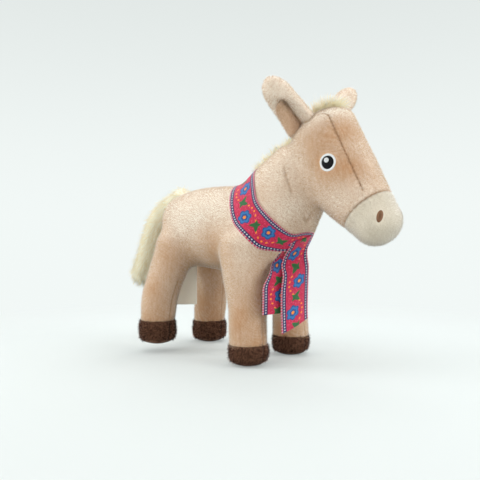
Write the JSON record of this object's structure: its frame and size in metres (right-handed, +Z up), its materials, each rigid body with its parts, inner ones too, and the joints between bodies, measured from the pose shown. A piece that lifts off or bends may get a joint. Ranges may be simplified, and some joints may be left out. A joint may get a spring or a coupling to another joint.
{
  "type": "plush mule",
  "caption": "Standing stuffed mule of short-pile plush with hinged legs, head, ears and tail, a faux-fur mane and a hanging ribbon scarf",
  "frame": {"origin": "on the floor, under the middle of the toy's outline", "axes": "+X from the tail to the nose, +Y to the animal's left, +Z up"},
  "size_m": [0.2636, 0.096, 0.21],
  "materials": {
    "coat": "short fawn pile",
    "muzzle": "short cream pile",
    "hoof": "short dark brown pile",
    "ear_lining": "short fawn pile",
    "faux_fur": "long straw-coloured pile",
    "thread_white": "satin stitch",
    "thread_black": "satin stitch",
    "thread_brown": "satin stitch",
    "ribbon": "woven ribbon with a figured band",
    "label": "white satin tape, bare",
    "filling": "loose white fibre"
  },
  "bodies": {
    "torso": {"body_side_left": "coat", "body_side_right": "coat", "belly_panel": "coat", "body_filling": "filling", "scarf_band": "ribbon"},
    "leg_front_left": {"leg_front_left_outer_panel": "coat", "leg_front_left_inner_panel": "coat", "hoof_front_left_band": "hoof", "hoof_front_left_sole": "hoof", "leg_front_left_filling": "filling"},
    "leg_front_right": {"leg_front_right_outer_panel": "coat", "leg_front_right_inner_panel": "coat", "hoof_front_right_band": "hoof", "hoof_front_right_sole": "hoof", "leg_front_right_filling": "filling"},
    "leg_hind_left": {"leg_hind_left_outer_panel": "coat", "leg_hind_left_inner_panel": "coat", "hoof_hind_left_band": "hoof", "hoof_hind_left_sole": "hoof", "leg_hind_left_filling": "filling"},
    "leg_hind_right": {"leg_hind_right_outer_panel": "coat", "leg_hind_right_inner_panel": "coat", "hoof_hind_right_band": "hoof", "hoof_hind_right_sole": "hoof", "leg_hind_right_filling": "filling"},
    "head": {"head_side_left": "coat", "head_side_right": "coat", "brow_panel": "coat", "muzzle_cover": "muzzle", "head_filling": "filling", "eye_left_white": "thread_white", "eye_left_pupil": "thread_black", "eye_left_glint": "thread_white", "eye_right_white": "thread_white", "eye_right_pupil": "thread_black", "eye_right_glint": "thread_white", "nostril_left": "thread_brown", "nostril_right": "thread_brown", "mane": "faux_fur", "forelock": "faux_fur"},
    "ear_left": {"ear_left_back": "coat", "ear_left_lining": "ear_lining"},
    "ear_right": {"ear_right_back": "coat", "ear_right_lining": "ear_lining"},
    "tail": {"tail": "faux_fur"},
    "scarf_back_end": {"scarf_back_end": "ribbon"},
    "scarf_front_end": {"scarf_front_end": "ribbon"},
    "care_label": {"care_label": "label"}
  },
  "joints": [
    {"name": "leg_front_left_swing", "type": "hinge", "parent": "torso", "child": "leg_front_left", "pos_m": [0.01551, 0.02849, 0.073], "axis": [0, 1, 0], "range_deg": [-10, 10], "stiffness_Nm_per_rad": 2},
    {"name": "leg_front_right_swing", "type": "hinge", "parent": "torso", "child": "leg_front_right", "pos_m": [0.01551, -0.02751, 0.073], "axis": [0, 1, 0], "range_deg": [-10, 10], "stiffness_Nm_per_rad": 2},
    {"name": "leg_hind_left_swing", "type": "hinge", "parent": "torso", "child": "leg_hind_left", "pos_m": [-0.06399, 0.03299, 0.073], "axis": [0, 1, 0], "range_deg": [-10, 10], "stiffness_Nm_per_rad": 2},
    {"name": "leg_hind_right_swing", "type": "hinge", "parent": "torso", "child": "leg_hind_right", "pos_m": [-0.06399, -0.03201, 0.073], "axis": [0, 1, 0], "range_deg": [-10, 10], "stiffness_Nm_per_rad": 2},
    {"name": "head_turn", "type": "hinge", "parent": "torso", "child": "head", "pos_m": [0.03601, 0.00049, 0.123], "axis": [0.6293, 0, 0.7771], "range_deg": [-20, 20], "stiffness_Nm_per_rad": 0.4},
    {"name": "ear_left_fold", "type": "hinge", "parent": "head", "child": "ear_left", "pos_m": [0.06856, 0.01662, 0.1772], "axis": [-0.5279, 0.6529, -0.5432], "range_deg": [-25, 25], "stiffness_Nm_per_rad": 0.01},
    {"name": "ear_right_fold", "type": "hinge", "parent": "head", "child": "ear_right", "pos_m": [0.06424, -0.0177, 0.17496], "axis": [0.478, 0.5541, 0.6816], "range_deg": [-25, 25], "stiffness_Nm_per_rad": 0.01},
    {"name": "tail_lift", "type": "hinge", "parent": "torso", "child": "tail", "pos_m": [-0.06899, 0.00049, 0.131], "axis": [0, 1, 0], "range_deg": [0, 60]},
    {"name": "scarf_back_end_swing", "type": "hinge", "parent": "torso", "child": "scarf_back_end", "pos_m": [0.06391, -0.00251, 0.101], "axis": [-0.309, -0.9511, 0], "range_deg": [0, 40]},
    {"name": "scarf_front_end_swing", "type": "hinge", "parent": "scarf_back_end", "child": "scarf_front_end", "pos_m": [0.06391, -0.00251, 0.101], "axis": [-0.309, -0.9511, 0], "range_deg": [0, 40]},
    {"name": "care_label_flap", "type": "hinge", "parent": "torso", "child": "care_label", "pos_m": [-0.0712, 0.00049, 0.07934], "axis": [0.6691, 0.7431, 0], "range_deg": [-15, 15]}
  ]
}
